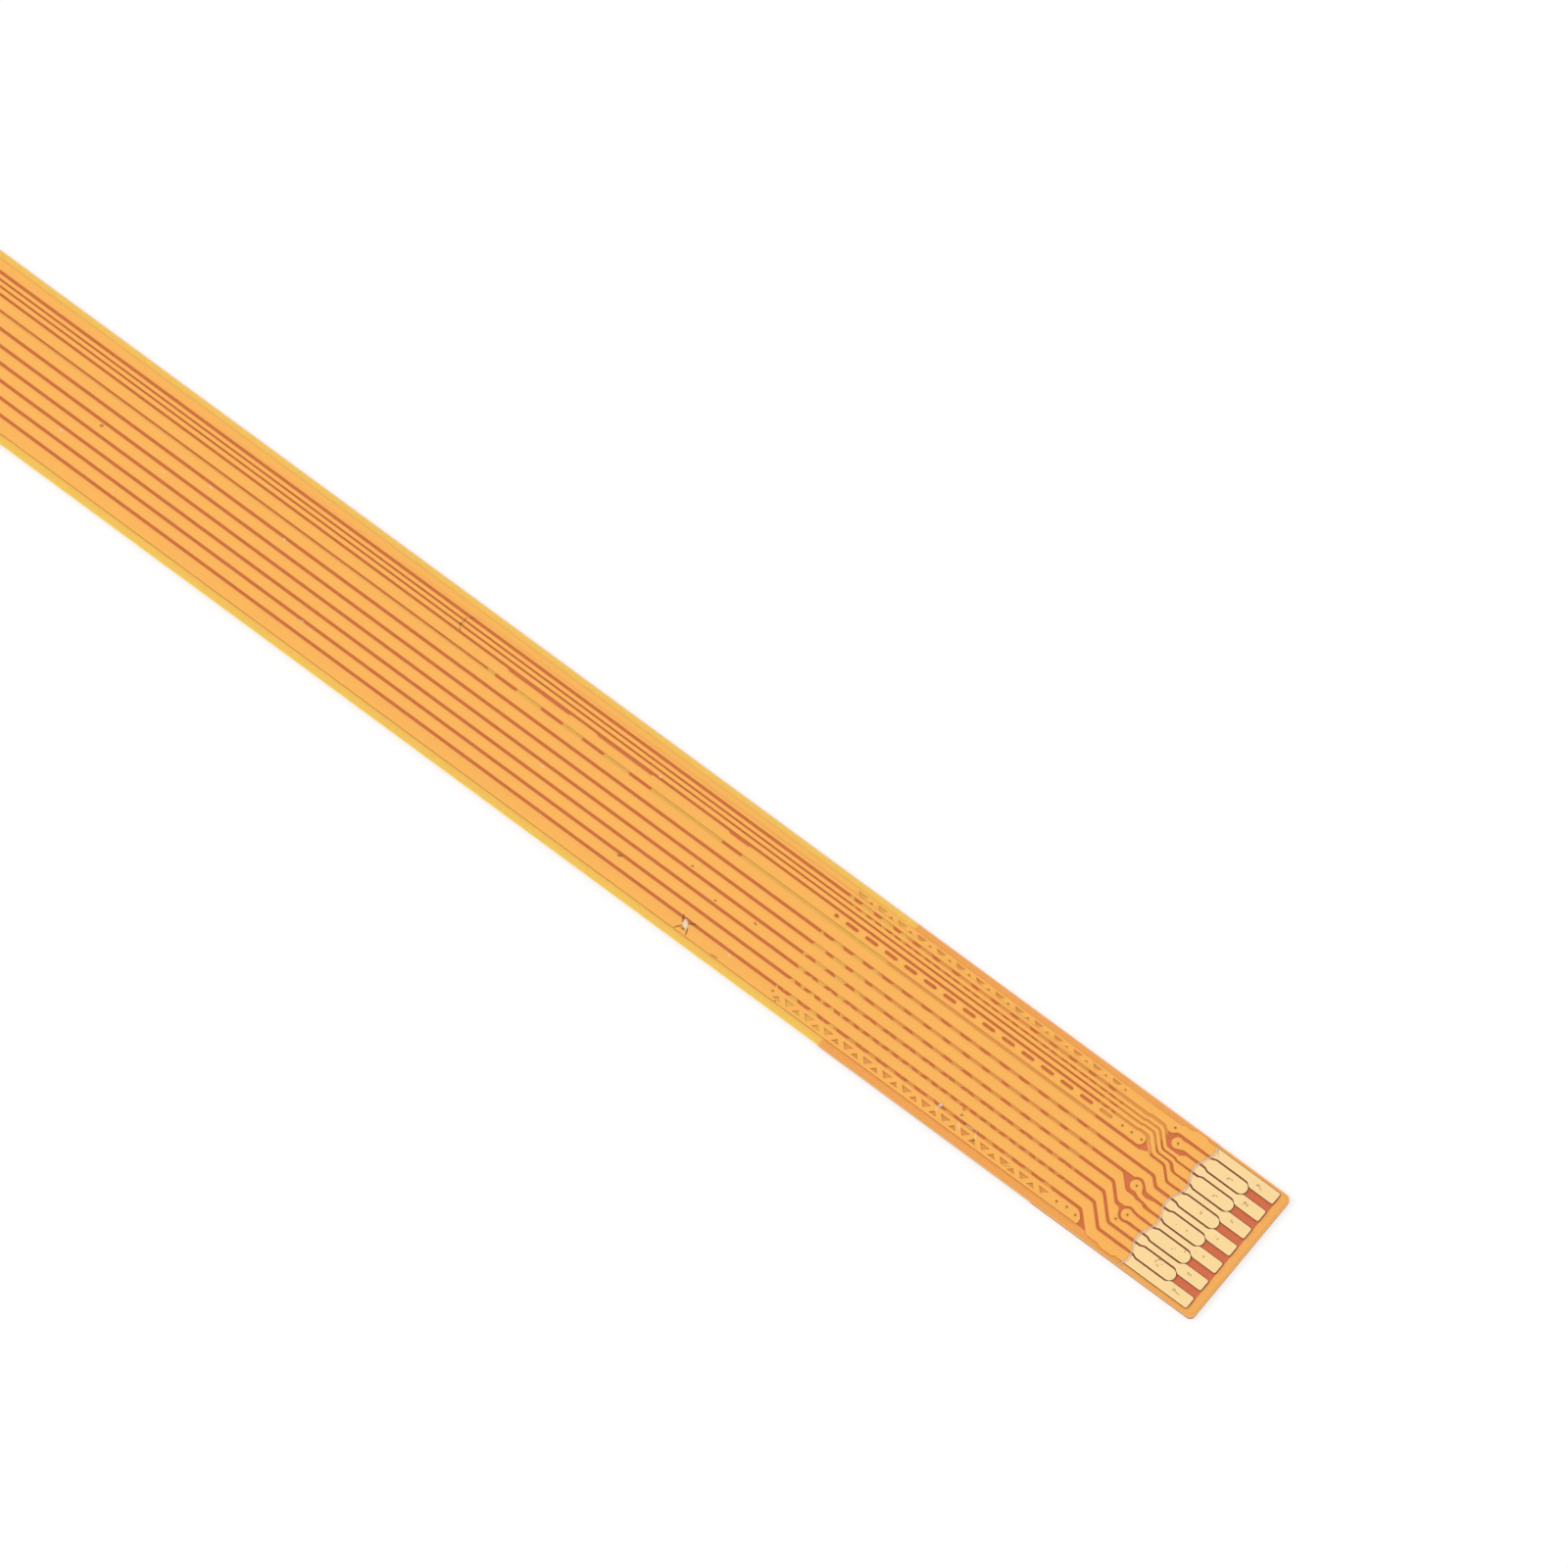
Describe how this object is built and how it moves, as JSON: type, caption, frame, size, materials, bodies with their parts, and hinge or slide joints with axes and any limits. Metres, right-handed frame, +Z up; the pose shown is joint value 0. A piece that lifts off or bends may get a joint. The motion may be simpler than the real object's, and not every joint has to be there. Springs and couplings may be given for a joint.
{
  "type": "flat flex cable",
  "caption": "Flat flexible printed circuit cable in amber film, with two rows of staggered gold contacts at a stiffened end and a plain far end.",
  "frame": {"origin": "middle of the cable's outline, at the underside of the contact stiffener", "axes": "+X along the cable towards the contact end, +Y across it towards the edge with the fine traces, +Z up out of the contact side"},
  "size_m": [0.045, 0.0042, 0.0002],
  "materials": {
    "coverlay": "satin amber film",
    "base_film": "clear dark amber film",
    "stiffener_film": "smooth amber film",
    "bonding_sheet": "dull pale adhesive",
    "copper": "smooth copper foil",
    "gold": "satin gold over nickel"
  },
  "bodies": {
    "root": {"stiffener": "stiffener_film", "stiffener_bond": "bonding_sheet", "support_film": "stiffener_film", "support_bond": "bonding_sheet", "bottom_coverlay": "coverlay", "base_film": "base_film", "top_coverlay": "coverlay", "ground_plane": "copper", "upper_ground_strip": "copper", "fine_trace_1": "copper", "fine_trace_2": "copper", "fine_trace_3": "copper", "slotted_strip": "copper", "wide_trace_1": "copper", "wide_trace_2": "copper", "wide_trace_3": "copper", "wide_trace_4": "copper", "wide_trace_5": "copper", "wide_trace_6": "copper", "lower_ground_strip": "copper", "via_stub_1": "copper", "via_stub_2": "copper", "via_stub_3": "copper", "plated_vias": "copper", "gold_contact_1": "gold", "gold_contact_2": "gold", "gold_contact_3": "gold", "gold_contact_4": "gold", "gold_contact_5": "gold", "gold_contact_6": "gold", "gold_contact_7": "gold", "gold_contact_8": "gold", "gold_contact_9": "gold", "gold_contact_10": "gold", "gold_contact_11": "gold", "gold_contact_12": "gold", "gold_contact_13": "gold"}
  },
  "joints": []
}
